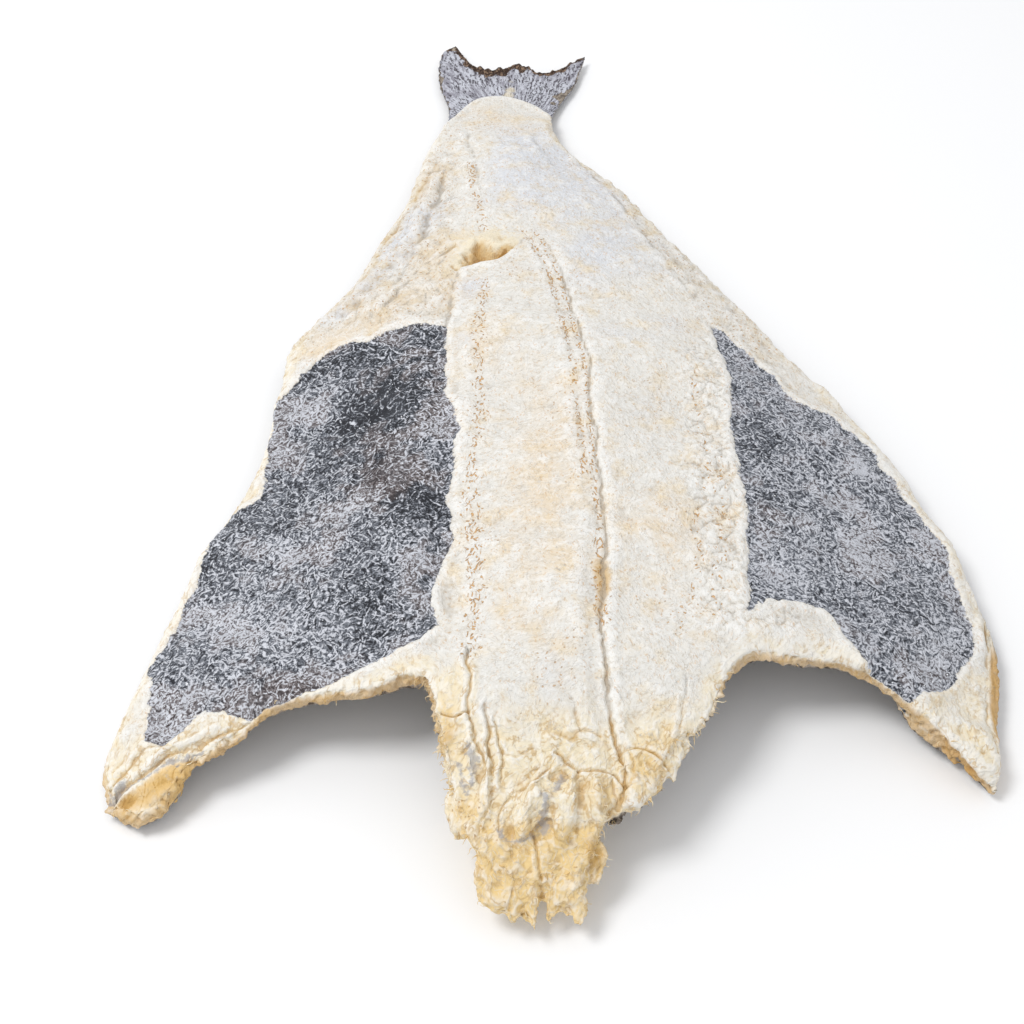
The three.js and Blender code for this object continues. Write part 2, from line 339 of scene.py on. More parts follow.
LEFT_MEMBRANE = [
    (-62, 14), (-96, 16), (-114, 8), (-133, 10), (-154, -1), (-165, -18), (-175, -44), (-176, -91),
    (-178, -116), (-196, -124), (-204, -140), (-219, -206), (-233, -240), (-229, -262), (-229, -291),
    (-216, -294), (-197, -279), (-184, -282), (-169, -289), (-123, -272), (-82, -253), (-66, -240),
    (-72, -222), (-66, -202), (-58, -174), (-61, -146), (-54, -84), (-62, -48), (-62, -31),
]
RIGHT_MEMBRANE = [
    (117, 22), (133, 7), (147, -15), (162, -49), (184, -59), (202, -76), (221, -124), (237, -162),
    (242, -217), (246, -234), (241, -246), (231, -254), (221, -270), (207, -274), (193, -284), (175, -271),
    (161, -242), (153, -228), (137, -226), (121, -228), (107, -237), (109, -215), (117, -160), (116, -81),
    (122, -34), (119, -2),
]
SEAM = [
    (4, 121), (10, 95), (20, 55), (24, 16), (29, -28), (29, -70), (30, -137), (32, -183), (28, -208),
    (25, -240), (25, -272), (27, -305), (30, -324), (32, -340), (28, -352),
]
SEAM_DEPTH = [(-372, 3), (-300, 3), (-180, 1.6), (0, 1), (90, 0.6), (121, 0)]
VENT_LIP = [(-54, 74), (-38, 79), (-26, 82), (-16, 93), (-12, 100)]
VENT_RIM = [(-54, 74), (-48, 90), (-39, 104), (-33, 97), (-25, 91), (-12, 99)]
FLESH_END = [
    (-90, 262), (-72, 275), (-61, 288), (-49, 309), (-31, 323), (-9, 320), (10, 310), (20, 292), (34, 272),
    (60, 262),
]
CRUST_WIDTH = [(-60, 6), (-25, 7.5), (-10, 6.5), (8, 5.5), (16, 3.5), (35, 3), (56, 2.5)]
# Rows of small ochre pits, where bones were pulled: a line, its half width and how thickly they lie.
PIT_LINES = [
    ([(27, -186), (25, -208), (25, -226), (25, -246)], 4, 1),
    ([(-36, 56), (-38, 26), (-41, 1), (-41, -29), (-40, -69), (-44, -101), (-48, -142)], 5, 0.75),
    ([(-46, -130), (-47, -161), (-46, -190), (-44, -216), (-47, -240), (-49, -262)], 7, 0.8),
    ([(-8, 118), (0, 95), (10, 55), (14, 20), (19, -28), (20, -70), (21, -137)], 2.6, 1),
    ([(0, 118), (7, 95), (17, 55), (21, 16), (26, -28), (27, -70), (27, -137), (28, -200)], 2.2, 1),
    ([(97, -35), (96, -86), (98, -121), (93, -140), (84, -175), (84, -197), (76, -227), (67, -254)], 3, 0.6),
    ([(104, -120), (101, -160), (96, -200), (88, -240)], 8, 0.5),
    ([(-43, 211), (-43, 186), (-38, 154), (-36, 122)], 4, 0.8),
]
GUT_WALL = [(-270, 0), (-230, 2.4), (-100, 2.8), (0, 2), (60, 0)]
# A fold: its line, half width, depth and how ochre it has dried.
HEAD_FOLDS = [
    ([(-34, -343), (-26, -340), (-18, -335), (-12, -330), (-15, -325)], 0.7, 0.7, 0.4),
    ([(-30, -324), (-24, -325), (-16, -322), (-3, -324)], 0.7, 0.5, 0.4),
    ([(-35, -362), (-34, -354), (-31, -347), (-26, -343), (-18, -339), (-8, -333)], 0.8, 1.2, 0.3),
    ([(-6, -336), (-10, -346), (-11, -352), (-17, -359), (-17, -365)], 0.9, 1.6, 0.1),
    ([(7, -334), (8.5, -345), (7.5, -355), (6, -364)], 0.8, 1.4, 0.4),
    ([(25, -338), (26, -347), (23, -355)], 0.8, 1, 0.5),
    ([(-3, -313), (5, -315), (12, -312), (20, -314)], 1.2, 0.5, 0.8),
    ([(-35, -284), (-16, -284), (-1, -288), (7, -297), (9, -309)], 1.4, 0.5, 0),
    ([(-3, -324), (2, -330), (8, -334), (19, -333), (27, -335), (33, -341)], 1, 1.8, 0.6),
    ([(31, -324), (41, -323), (48, -326), (53, -330)], 0.9, 1.3, 0.8),
    ([(35, -326), (37, -333), (35, -341)], 0.8, 1.2, 0.6),
    ([(68, -280), (68, -288), (65, -300), (62, -314)], 0.9, 0.6, 0.3),
    (
        [(-50, -262), (-49, -283), (-49, -301), (-47, -313), (-44, -321), (-44, -334), (-45, -346)],
        0.9, 1.8, 0.5,
    ),
    ([(-40, -296), (-39, -316), (-38, -326), (-38, -339), (-40, -351), (-44, -361)], 0.8, 1.6, 0.5),
    ([(-36, -306), (-33, -318), (-31.5, -330), (-34, -342), (-37, -346)], 0.7, 1.2, 0.3),
    ([(-64, -299), (-57, -302), (-50, -299)], 0.9, 1.6, 0.6),
    ([(-62, -318), (-56, -322), (-50, -318)], 0.8, 1, 0.6),
    ([(-29, -372), (-28, -384), (-30, -396)], 0.8, 0.8, 0.4),
    ([(-17, -366), (-14, -380), (-13, -398)], 0.9, 1.4, 0.5),
]
TIP_FOLDS = [
    ([(-153, -289), (-175, -291), (-197, -300), (-217, -305), (-236, -316), (-246, -321)], 1.5, 3, 0),
    ([(-211, -301), (-222, -295), (-231, -297), (-240, -308), (-247, -316)], 1.2, 1.4, 0),
    ([(-231, -214), (-239, -240), (-243, -271), (-249, -288), (-252, -310)], 1.6, 1.1, 0.2),
    ([(-237, -326), (-220, -320), (-202, -314)], 4, 2.2, 1),
    ([(256, -218), (251, -247), (243, -277), (241, -305)], 1.5, 2, 0.4),
]
FLANK_FOLDS = [
    ([(-65, 200), (-68, 172), (-75, 153), (-79, 128), (-87, 108), (-96, 76)], 2.2, 1.8, 0),
    ([(-74, 212), (-88, 176), (-106, 132), (-126, 94)], 1.8, 1, 0),
    ([(-56, 104), (-68, 96), (-80, 87), (-90, 70), (-104, 44)], 1.6, 1, 0.1),
    ([(52, 232), (66, 204), (78, 182), (92, 150), (103, 121), (117, 91), (134, 60)], 1.6, 2, 0.2),
    ([(36, 240), (50, 205), (66, 165), (80, 130), (94, 90), (104, 60)], 1.8, 1.2, 0),
    ([(-62, 13), (-59, 30), (-57, 56), (-54, 74)], 1.6, 1.2, 0.1),
    ([(-50, 290), (-46, 250), (-40, 215), (-38, 180)], 2.6, 0.9, 0),
    ([(-3, 286), (8, 245), (18, 215)], 2.4, 0.8, 0),
]
FLANK_RIDGE = [
    (-44, 215), (-68, 196), (-80, 169), (-88, 136), (-97, 118), (-116, 91), (-137, 59), (-154, 34),
]
# Where the skin shows through the torn flesh: a line and its half width.
SKIN_SHOWS = [
    ([(-50, -318), (-48, -328), (-49, -341)], 2.6),
    ([(-56, -328), (-53, -337), (-50, -343)], 2.2),
    ([(-35, -362), (-30, -367), (-22, -368), (-15, -365)], 1.2),
    ([(-9, -350), (-10, -357), (-12, -363)], 2.8),
    ([(-1, -336), (-6, -344)], 1.6),
    ([(-196, -303), (-209, -307), (-222, -311), (-240, -319)], 1.2),
    ([(-202, -305), (-212, -308)], 2.4),
    ([(-240, -316), (-246, -321)], 3.4),
]
WAVES = 30


def ripple(wavelength, seed, stretch=(1, 1, 1)):
    """A random field over the skin, of about one wavelength: plane waves that cross each other all ways."""
    dice = np.random.default_rng(seed)
    ways = dice.normal(size=(WAVES, 3))
    ways /= np.linalg.norm(ways, axis=1, keepdims=True)
    ways *= 2 * math.pi / wavelength * dice.uniform(0.7, 1.3, (WAVES, 1))
    phases = dice.uniform(0, 2 * math.pi, WAVES)
    return math.sqrt(2 / WAVES) * np.cos(place / np.array(stretch) @ ways.T + phases).sum(1)


def bell(distance, width):
    """1 at no distance, fading the same way to both sides."""
    return np.exp(-(distance / width) ** 2)


def crinkle(wavelength, seed, width, stretch=(1, 1, 1)):
    """Thin winding lines, 1 along each line and 0 between."""
    return bell(ripple(wavelength, seed, stretch), width)


def cracks(x, y, cell, seed):
    """The gap to the nearest crack between pebbles, in cells: 0 in the crack."""
    column, row = np.floor(x / cell), np.floor(y / cell)
    nearest = np.full(x.shape, 9.0)
    second = nearest.copy()
    for i in (-1, 0, 1):
        for j in (-1, 0, 1):
            roll_x = np.sin((column + i) * 127.1 + (row + j) * 311.7 + seed) * 43758.5
            roll_y = np.sin((column + i) * 269.5 + (row + j) * 183.3 + seed) * 43758.5
            away = np.hypot(
                x / cell - column - i - (roll_x - np.floor(roll_x)),
                y / cell - row - j - (roll_y - np.floor(roll_y)),
            )
            second = np.minimum(second, np.maximum(nearest, away))
            nearest = np.minimum(nearest, away)
    return second - nearest


def from_line(line):
    """Distance of the skin's points from a line; positive to the right of its direction."""
    best = np.full(x.shape, 1e9)
    side = np.ones(x.shape)
    for (x0, y0), (x1, y1) in zip(line, line[1:]):
        dx, dy = x1 - x0, y1 - y0
        share = np.clip(((x - x0) * dx + (y - y0) * dy) / (dx * dx + dy * dy), 0, 1)
        away = np.hypot(x - x0 - share * dx, y - y0 - share * dy)
        closer = away < best
        best = np.where(closer, away, best)
        side = np.where(closer, np.sign((x - x0) * dy - (y - y0) * dx), side)
    return best * side


def inside(outline):
    """Distance of the skin's points from a closed outline; positive inside it."""
    loop = outline + outline[:1]
    is_in = np.zeros(x.shape, bool)
    for (x0, y0), (x1, y1) in zip(loop, loop[1:]):
        crosses = (y0 > y) != (y1 > y)
        is_in ^= crosses & (x < x0 + (x1 - x0) * (y - y0) / ((y1 - y0) or 1))
    return np.where(is_in, 1, -1) * abs(from_line(loop))


def rounded(line, steps=5):
    """The same line with its corners rounded."""
    xs, ys = zip(*line)
    t = np.linspace(0, len(line) - 1, (len(line) - 1) * steps + 1)
    return list(zip(along(list(enumerate(xs)), t), along(list(enumerate(ys)), t)))


def beside(line):
    """Distance of the skin's points from a line with its corners rounded."""
    return from_line(rounded(line))


def spots(*places):
    """Soft round stains at (x, y, radius, strength)."""
    total = 0
    for spot_x, spot_y, radius, strength in places:
        total = total + strength * np.exp(-((x - spot_x) ** 2 + (y - spot_y) ** 2) / radius**2)
    return total


def read_rows(items, name, width=3, kind=float):
    """What the points, edges or faces of a mesh hold under a name, a row for each."""
    values = np.empty(len(items) * width, np.int32 if kind is int else np.float32)
    items.foreach_get(name, values)
    return values.reshape(-1, width).astype(kind)


def hollows(mesh, rounds):
    """How deep each point lies below its evened-out neighbourhood; below 0 on a crest."""
    ends = read_rows(mesh.edges, "vertices", 2, int)
    here, there = np.concatenate([ends, ends[:, ::-1]]).T
    points = read_rows(mesh.vertices, "co") / MM
    shares = np.bincount(here, minlength=len(points))
    even = points.copy()
    for _ in range(rounds):
        even = np.stack([np.bincount(here, even[there, axis], len(points)) / shares for axis in range(3)], -1)
    return ((even - points) * read_rows(mesh.vertex_normals, "vector")).sum(1)


def refine(mesh, chosen):
    """Splits the chosen faces in four, where the relief is finest."""
    finer = bmesh.new()
    finer.from_mesh(mesh)
    edges = {edge for face, keep in zip(finer.faces, chosen) if keep for edge in face.edges}
    bmesh.ops.subdivide_edges(finer, edges=list(edges), cuts=1, use_grid_fill=True, smooth=0.0)
    finer.to_mesh(mesh)
    finer.free()


x, y, z = read_rows(fish_mesh.polygons, "center").T
torn_end = (y < -258) & ((abs(x) < 88) | (x < -180) | (x > 205))
tail_end = y > 262
refine(fish_mesh, torn_end | tail_end)

place = read_rows(fish_mesh.vertices, "co")
normal = read_rows(fish_mesh.vertex_normals, "vector")
x, y, z = place.T
flesh_side = step(0.1, 0.55, normal[:, 2])
rim = 1 - abs(normal[:, 2])

# Where each region lies: a share from 0 to 1 or a distance.
wobble = 0.7 * ripple(21, 21) + 0.3 * ripple(6, 22)
membrane = np.maximum(inside(LEFT_MEMBRANE), inside(RIGHT_MEMBRANE)) + wobble
beyond_cut = y < along(HEAD_CUT, np.clip(x, HEAD_CUT[0][0], HEAD_CUT[-1][0]))
past_cut = np.where(beyond_cut, -1, 1) * abs(beside(HEAD_CUT))
on_tongue = step(-82, -66, x) * step(100, 84, x)
head = on_tongue * step(-262, -330, y)
strips = on_tongue * step(-356, -366, y) * step(34, 26, x)
tips = step(-268, -300, y) * step(150, 185, abs(x))
flesh_past = beside(FLESH_END)
fin = step(-1.5, 1.5, -flesh_past) * step(250, 270, y)
from_end = 0.75 * (along(TAIL_END, np.clip(x, -55, 54)) - y)
crust = np.where(y > 330, along(CRUST_WIDTH, x) * (1 + 0.3 * ripple(9, 53)) - from_end, -9)
ray = np.arctan2(x + 12, y - 255)
behind_lip = -beside(VENT_LIP)
from_rim = beside(VENT_RIM)
vent_rough = 1.6 * ripple(9, 35) + 0.8 * ripple(4.5, 36)
in_vent = step(0, 1.2, behind_lip) * step(-4, 10, from_rim + vent_rough)
right_band = step(74, 96, x - 0.06 * (y + 150)) * step(6, -2, membrane) * step(30, -20, y) * (1 - head)
right_band = right_band * step(150, 125, x) * step(-262, -240, y)
right_edge = along([(-40, 116), (30, 108), (110, 78), (190, 48), (262, 10)], y)
flank = np.maximum(
    step(-50, -62, x) * step(20, 30, y) * step(250, 215, y), step(0, 14, x - right_edge) * step(-60, 20, y)
)
flank = flank * (1 - fin) * flesh_side

# How far folds, seam, pits, vent, pebbles, fin and crust stand out.
lift = np.zeros(len(x))
fold_gap = np.full(len(x), 9.0)
stain = np.zeros(len(x))
fold_wobble = 0.6 * ripple(17, 31) + 0.25 * ripple(6, 34)
fading = np.clip(0.75 + 0.45 * ripple(34, 37) + 0.2 * ripple(11, 38), 0.15, 1.3)
for line, width, depth, ochre in HEAD_FOLDS + TIP_FOLDS + FLANK_FOLDS:
    depth = depth * fading
    aside = beside(line) + fold_wobble
    away = abs(aside)
    lift += depth * (0.8 * bell(aside - 2.8 * width, 2.2 * width) - bell(away, width))
    fold_gap = np.minimum(fold_gap, away / np.minimum(1, depth))
    stain = np.maximum(stain, ochre * bell(away, 2.2 * width))

seam_depth = along(SEAM_DEPTH, y) * step(130, 112, y)
seam_at = -beside(SEAM) + 0.6 * ripple(23, 32) + 0.3 * ripple(7, 33)
lift -= seam_depth * (bell(seam_at, 1.5) + 0.5 * bell(seam_at + 6, 5))
lift += seam_depth * (0.5 * bell(seam_at - 5, 4) + 0.3 * bell(seam_at + 14, 5))

pits = np.zeros(len(x))
for line, width, share in PIT_LINES:
    pits = np.maximum(pits, share * bell(beside(line), width))
lift -= 0.6 * pits * fading

lift -= 12 * in_vent
lift += 1.4 * bell(behind_lip + 3, 3.5) * bump(x + 33, 26)
lift += 2.4 * bell(from_rim + 5, 5) * step(-2, 3, behind_lip) * bump(x + 26, 30)
vent_stain_and_shade = step(-0.5, 1, behind_lip) * (0.7 * step(-6, 7, from_rim) + 0.5 * spots((-33, 92, 26, 1)))
# Ochre stain round the vent; the band just behind the lip, where it is darkest, is painted shade in the
# hollow under it.
vent_stain_and_shade += 1.1 * step(-0.5, 1, behind_lip) * step(9, 2, behind_lip) * bump(x + 27, 13)

lift -= along(GUT_WALL, y) * bump(x + 62, 15) + 0.9 * step(-0.7, 0.9, membrane)
lift += 0.9 * bell(membrane + 3.5, 3)
gap = cracks(x + 1.5 * ripple(14, 41), y + 1.5 * ripple(14, 42), 9.5, 1.7)
lift += right_band * (0.5 * step(0, 0.5, gap) - 0.6 * bell(gap, 0.09))
lift += 2.2 * bell(flesh_past - 2.5, 4) * step(250, 270, y) - 1.8 * fin
rays = np.sin(46 * ray + 1.2 * ripple(30, 51))
lift += fin * (0.16 * rays * step(-1, 0.6, rays) + 0.35 * ripple(9, 52))
lift += step(-1, 2, crust) * (0.9 + 0.9 * ripple(5, 54))
lift += 2.2 * bump(past_cut - 13, 15) * np.maximum(step(-66, -80, x), step(90, 104, x))
lift += 1.8 * bell(beside(FLANK_RIDGE), 5)

# Unevenness all over, crinkles where it was worked and a ragged rim.
wings = step(120, -80, y)
worked = np.maximum(head, 0.7 * tips)
lump = on_tongue * step(-318, -332, y + 6 * ripple(26, 66))
coarse = crinkle(17, 64, 0.2, (1, 1.6, 1))
middling = crinkle(9, 65, 0.24, (1, 1.4, 1))
fine = crinkle(5, 69, 0.3)
relief = (1 + 0.7 * wings) * ripple(88, 61) + 0.35 * ripple(27, 62, (1.5, 1, 1))
relief += (0.16 + 0.25 * worked + 0.25 * flank) * ripple(14, 63)
worked = worked * (1 - 0.5 * lump)
relief -= (0.16 + 0.3 * worked + 0.3 * flank) * coarse
relief -= (0.12 + 0.22 * worked + 0.2 * flank) * middling + 0.14 * worked * fine
relief += strips * (0.22 * ripple(5, 67, (1, 3, 1)) + 0.3 * ripple(11, 68, (1, 2.5, 1)))
relief *= 1 - 0.55 * fin
ragged = rim * (0.3 * ripple(10, 71) + 0.4 * ripple(4.6, 72))
ragged -= 0.6 * rim * crinkle(6, 75, 0.3)
ragged *= (0.5 + 1.4 * np.exp(-np.maximum(past_cut, 0) / 14)) * (1 - 0.55 * lump)
underside = (1 - flesh_side) * (0.7 * ripple(40, 73) + 0.25 * ripple(9, 74))
settle = step(0.5, 4, z)
place = place + normal * ((relief * flesh_side + underside * (1 - rim) + ragged) * settle)[:, None]
place[:, 2] += lift * flesh_side * settle
place[:, 2] = np.maximum(place[:, 2], 0)

place[:, :2] -= (place.min(0) + place.max(0))[:2] / 2
fish_mesh.vertices.foreach_set("co", (place * MM).astype(np.float32).ravel())
fish_mesh.update()
fish_mesh.polygons.foreach_set("use_smooth", np.ones(len(fish_mesh.polygons), bool))
# How deep each point lies in a hollow: shade is painted into the hollows from it, and highlight onto the
# crests.
hollow = hollows(fish_mesh, 24) * flesh_side
groove = hollows(fish_mesh, 3) * flesh_side

# What the material reads at each point of the skin.
seam_ochre = spots(
    (26, -190, 9, 0.6), (26, -208, 10, 1.1), (25, -222, 9, 1.2), (24, -238, 9, 0.7), (29, -150, 10, 0.4),
    (29, -120, 9, 0.6), (30, -95, 8, 0.6),
)
head_ochre = spots(
    (-61, -312, 7, 0.9), (-60, -300, 5, 0.6), (22, -318, 6, 0.7), (44, -336, 8, 0.5), (14, -372, 8, 1.1),
    (-33, -345, 6, 0.5), (10, -352, 6, 0.4), (24, -352, 7, 0.5), (-52, -352, 8, 0.5), (60, -312, 8, 0.4),
)
flank_ochre = spots((-60, 100, 16, 0.35), (-100, 40, 14, 0.25), (-128, 22, 12, 0.35))
strip_ochre = 0.3 * step(-345, -365, y) * on_tongue
stain = np.maximum.reduce([stain, seam_ochre * bell(seam_at, 6), head_ochre, flank_ochre, strip_ochre])
beige = spots(
    (-1, -110, 26, 0.5), (-6, -152, 30, 0.6), (-5, -199, 26, 0.5), (58, -169, 26, 0.5), (73, -198, 18, 0.3),
    (-20, -241, 22, 0.4), (-30, -20, 40, 0.3), (10, -60, 34, 0.3), (-20, 290, 30, 0.3), (-60, 100, 24, 0.7),
    (-75, 60, 26, 0.6), (-110, 36, 24, 0.6), (-140, 16, 18, 0.7), (-85, 190, 20, 0.5), (-68, 215, 16, 0.5),
)
cool = spots(
    (20, 190, 60, 1), (0, 235, 34, 0.6), (55, 90, 40, 0.8), (-48, 50, 16, 0.8), (-50, 0, 14, 0.5),
    (60, 0, 34, 0.5), (-80, 150, 20, 0.9), (-100, 120, 20, 0.9), (-118, 88, 20, 0.9), (-140, 58, 20, 0.8),
    (0, -270, 14, 0.15), (100, -150, 14, 0.4), (55, -75, 20, 0.4), (-2, -296, 12, 0.2),
)
pale = 0.38 - 0.2 * step(-80, 20, y) * step(0, -60, x) + 0.2 * step(60, 100, x) + spots(
    (-101, -48, 26, -0.6), (-116, -80, 22, -0.4), (-99, -121, 20, -0.5), (-80, -142, 16, -0.3),
    (-97, -203, 20, -0.12), (-147, -39, 20, 0.3), (-161, -164, 10, 0.45), (-97, -187, 16, 0.3),
    (-193, -210, 28, 0.3), (-144, -237, 24, 0.3), (-116, -147, 9, 0.3), (-65, -56, 14, 0.25),
    (-65, -102, 14, 0.2), (-199, -266, 24, 0.15), (131, -83, 14, -0.3), (131, -153, 16, -0.35),
    (197, -108, 7, 0.8), (136, -207, 16, 0.35), (227, -237, 16, 0.3), (168, -155, 24, 0.1),
)
golden = step(1, 4, -beside(TIP_FOLDS[4][0])) * step(-225, -245, y) * step(0, 1, x)
wall = step(172, 186, x) * step(240, 228, x) * step(11, 4, past_cut)
wall *= step(0.6, 0.2, normal[:, 2]) * step(2, 5, z) * (0.35 + 0.65 * step(-285, -305, y))
bare_skin = step(12, 16, x) * step(62, 54, x) * step(-334, -339, y) * step(-365, -360, y)
bare_skin *= step(40, 37, place[:, 2])
cut_strip = bell(np.maximum(past_cut, 0), 15)
side_strip = bell(np.minimum(x - along(LEFT_SIDE, y), along(RIGHT_SIDE, y) - x), 12) * step(290, 240, y)
off_membrane = step(3, -3, membrane)
cream = np.maximum.reduce([
    step(-265, -335, y) * on_tongue,
    0.9 * step(-38, -48, x) * step(-250, -285, y) * on_tongue,
    0.6 * step(160, 180, x) * step(-225, -260, y) * off_membrane,
    0.8 * tips * off_membrane,
    0.8 * cut_strip,
    0.7 * side_strip,
])
facing = normal[:, 2] * (1 - lump) + np.maximum(normal[:, 2], -0.2) * lump
grey_skin = np.zeros(len(x))
for line, width in SKIN_SHOWS:
    grey_skin = np.maximum(grey_skin, bell(beside(line) + fold_wobble, width))
for name, values in {
    "membrane": np.clip(np.minimum(membrane, 20 * (normal[:, 2] - 0.35)) - 14 * wall, -20, 20),
    "facing": facing,
    "ragged_cut": np.maximum.reduce([cut_strip, lump, tips]),
    "fold_gap": np.clip(fold_gap, 0, 9),
    "seam_gap": np.clip(abs(seam_at), 0, 9) + 9 * step(105, 125, y),
    "hollow": np.clip((hollow / 0.75 + groove / 0.4) * (1 + 0.6 * tips), -1, 2),
    "pebbled": right_band,
    "stain": np.clip(stain, 0, 1.2),
    "vent": vent_stain_and_shade,
    "cream": cream,
    "yellow": strips + spots(
        (45, -330, 13, 0.8), (-50, -350, 14, 0.7), (-61, -300, 9, 0.6), (-60, -316, 9, 0.6),
        (20, -346, 11, 0.7), (2, -338, 8, 0.4), (60, -313, 9, 0.4),
    ),
    "head": head,
    "flank": flank,
    "across": step(4, -4, seam_at) * step(130, 80, y) * step(-64, -56, x) * (1 - head),
    "beige": np.clip(beige, 0, 1),
    "cool": np.clip(cool, 0, 1),
    "pits": np.clip(pits, 0, 1),
    "fin": np.clip(np.where(y > 240, -flesh_past, -30), -20, 150),
    "ray": 90 * ray,
    "crust": np.clip(crust, -9, 9),
    "bridge": spots((-14, 326, 7, 1), (-11, 338, 6, 0.9), (-10, 350, 4, 0.6)),
    "pale": pale,
    "golden": np.maximum(golden, wall),
    "film": 0.02 + 0.03 * step(60, 100, x),
    "dun": spots((-175, -284, 16, 0.3), (-150, -277, 16, 0.3), (-60, -60, 20, 0.1), (-90, -120, 30, 0.1)),
    "pocket": step(-3, -6, beside(TIP_FOLDS[0][0])) * spots(
        (-224, -319, 11, 1), (-208, -313, 10, 1), (-238, -326, 8, 0.7),
    ),
    "bare_skin": bare_skin,
    "grey_skin": np.clip(grey_skin, 0, 1),
}.items():
    fish_mesh.attributes.new(name, "FLOAT", "POINT").data.foreach_set("value", values.astype(np.float32))

fish = placed("split_cod", fish_mesh)
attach(fish, "root")
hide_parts("cod")


# --- The cured surface ---
# Dry white muscle with fine crinkles, dark belly membrane under pale fibres, cream where it was cut, ochre in
# its folds, grey-brown skin below and a grey fin. Lengths are in millimetres.
# Shade is painted into its hollows, crease lines, seam groove, pocket and vent, and highlight onto its
# crests.


class Shade:
    """A socket of a material: arithmetic on it adds the nodes that work it out."""

    def __init__(self, tree, socket=None):
        self.tree, self.socket = tree, socket

    def made(self, kind, settings, values, out=0):
        """Adds a node: its settings first, then the values or links of its sockets."""
        node = self.tree.nodes.new("ShaderNode" + kind)
        for name, setting in settings.items():
            setattr(node, name, setting)
        for name, value in values.items():
            if isinstance(value, Shade):
                value.into(node, name)
            else:
                node.inputs[name].default_value = value
        return Shade(self.tree, node.outputs[out])

    def out(self, name):
        """Another output of the same node."""
        return Shade(self.tree, self.socket.node.outputs[name])

    def into(self, node, name):
        self.tree.links.new(self.socket, node.inputs[name])

    def worked(self, operation, first, second=0.0):
        return self.made("Math", {"operation": operation}, {0: first, 1: second})

    def __add__(self, other):
        return self.worked("ADD", self, other)

    def __sub__(self, other):
        return self.worked("SUBTRACT", self, other)

    def __rsub__(self, other):
        return self.worked("SUBTRACT", other, self)

    def __mul__(self, other):
        return self.worked("MULTIPLY", self, other)

    def __abs__(self):
        return self.worked("ABSOLUTE", self)

    __radd__ = __add__
    __rmul__ = __mul__

    def wave(self):
        return self.worked("SINE", self)

    def most(self, other):
        return self.worked("MAXIMUM", self, other)

    def between(self, low, high):
        """0 at low, 1 at high, smooth between."""
        return self.made(
            "MapRange", {"interpolation_type": "SMOOTHSTEP"},
            {"Value": self, "From Min": low, "From Max": high},
        )

    def vector(self, operation, values, out=0):
        """Vector maths with this socket as the first vector."""
        return self.made("VectorMath", {"operation": operation}, {0: self, **values}, out)

    def field(self, name):
        """A value that the mesh holds for each of its points."""
        return self.made("Attribute", {"attribute_name": name}, {}, "Fac")

    def moved(self, by, stretch=(1, 1, 1), turn=0.0):
        """A place that is stretched, turned and set off, for a texture of its own."""
        return self.made(
            "Mapping", {"vector_type": "TEXTURE"},
            {"Vector": self, "Location": by, "Scale": stretch, "Rotation": (0, 0, turn)},
        )

    def cloud(self, size, detail=2.0, roughness=0.5):
        """Even random clouds of about this size, 0 to 1 with most near 0.5."""
        return self.made(
            "TexNoise", {}, {"Vector": self, "Scale": 1 / size, "Detail": detail, "Roughness": roughness}
        )

    def cells(self, size, feature="F1"):
        """Flat random cells of about this size: the distance from the middle of each."""
        return self.made(
            "TexVoronoi", {"voronoi_dimensions": "2D", "feature": feature},
            {"Vector": self, "Scale": 1 / size},
        )

    def fibres(self, size, width, way=(0, 0), spread=2):
        """Short straight fibres, one in each cell and most of them square to the way: 1 along each."""
        cells = self.cells(size)
        chances = cells.out("Color")
        middle = (way[0] - spread / 2, way[1] - spread / 2, 0)
        square_to = chances.vector("MULTIPLY_ADD", {1: (spread, spread, 0), 2: middle})
        square_to = square_to.vector("NORMALIZE", {})
        gap = self.vector("SUBTRACT", {1: cells.out("Position")})
        aside = abs(square_to.vector("DOT_PRODUCT", {1: gap}, "Value"))
        chance = chances.vector("DOT_PRODUCT", {1: (0, 0, 1)}, "Value")
        return aside.between(width, width * 0.3) * cells.between(0.85, 0.5) * (chance + 0.3)


def dye(red, green, blue):
    """A colour as the eye reads it, 0 to 255, made into light."""
    shares = [value / 255 for value in (red, green, blue)]
    return (*[s / 12.92 if s <= 0.04045 else ((s + 0.055) / 1.055) ** 2.4 for s in shares], 1)


WHITE_FLESH = dye(228, 225, 218)
COOL_FLESH = dye(217, 219, 223)
BEIGE_FLESH = dye(228, 210, 183)
CRINKLE_HIGHLIGHT = dye(244, 243, 240)
CRINKLE_SHADE = dye(188, 174, 152)
CREAM_FLESH = dye(236, 223, 194)
YELLOW_FLESH = dye(233, 202, 140)
OCHRE = dye(208, 168, 96)
DEEP_OCHRE = dye(150, 104, 40)
GOLD = dye(200, 158, 92)
POCKET = dye(238, 204, 146)
PIT_BROWN = dye(206, 154, 84)
# Painted shade in hollows and grooves: grey, or tinted ochre.
HOLLOW_SHADE_GREY = dye(170, 162, 150)
HOLLOW_SHADE_OCHRE = dye(188, 149, 86)
MEMBRANE_DARK = dye(26, 28, 35)
MEMBRANE_BROWN = dye(58, 50, 50)
MEMBRANE_GREY = dye(106, 110, 118)
MEMBRANE_DUN = dye(120, 112, 112)
MEMBRANE_LIGHT = dye(214, 216, 223)
SKIN_DARK = dye(84, 74, 66)
SKIN_LIGHT = dye(172, 160, 146)
FIN_GREY = dye(150, 148, 158)
FIN_LIGHT = dye(206, 208, 217)
FIN_DARK = dye(58, 52, 56)
FIN_CRUST = dye(70, 54, 45)
CRUST_TAN = dye(156, 130, 108)
GREY_SKIN = dye(158, 159, 166)


